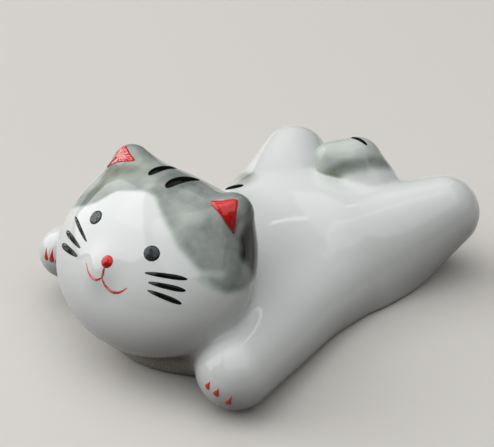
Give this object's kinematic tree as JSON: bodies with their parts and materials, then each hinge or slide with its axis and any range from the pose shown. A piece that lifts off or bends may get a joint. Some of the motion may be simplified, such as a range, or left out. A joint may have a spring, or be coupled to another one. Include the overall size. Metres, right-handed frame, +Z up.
{
  "type": "chopstick rest",
  "caption": "Glazed white porcelain chopstick rest shaped as a cat lying flat with its limbs spread, with an enamelled face and a low back.",
  "frame": {"origin": "on the flat unglazed foot under the belly, on the centre line", "axes": "+Z up out of the foot, -Y the way the cat looks, +X the cat's own left side"},
  "size_m": [0.0436, 0.0604, 0.0249],
  "materials": {
    "porcelain_trunk": "clear gloss glaze over white porcelain, bare on the flat foot",
    "porcelain_head": "clear gloss glaze over white porcelain with a grey-green wash",
    "porcelain_tail": "clear gloss glaze over a grey-green wash",
    "charcoal_enamel": "gloss overglaze enamel",
    "black_enamel": "semi-gloss brushed enamel",
    "red_enamel": "gloss overglaze enamel"
  },
  "bodies": {
    "root": {"torso": "porcelain_trunk", "head": "porcelain_head", "ear_left": "porcelain_head", "ear_right": "porcelain_head", "foreleg_left": "porcelain_trunk", "foreleg_right": "porcelain_trunk", "hind_leg_left": "porcelain_trunk", "hind_leg_right": "porcelain_trunk", "tail": "porcelain_tail", "eye_left": "charcoal_enamel", "eye_right": "charcoal_enamel", "nose": "red_enamel", "mouth": "red_enamel", "whiskers_left": "black_enamel", "whiskers_right": "black_enamel", "inner_ear_left": "red_enamel", "inner_ear_right": "red_enamel", "toe_marks_left": "red_enamel", "toe_marks_right": "red_enamel", "crown_stripes": "black_enamel", "back_stripe": "black_enamel", "tail_stripe": "black_enamel"}
  },
  "joints": []
}
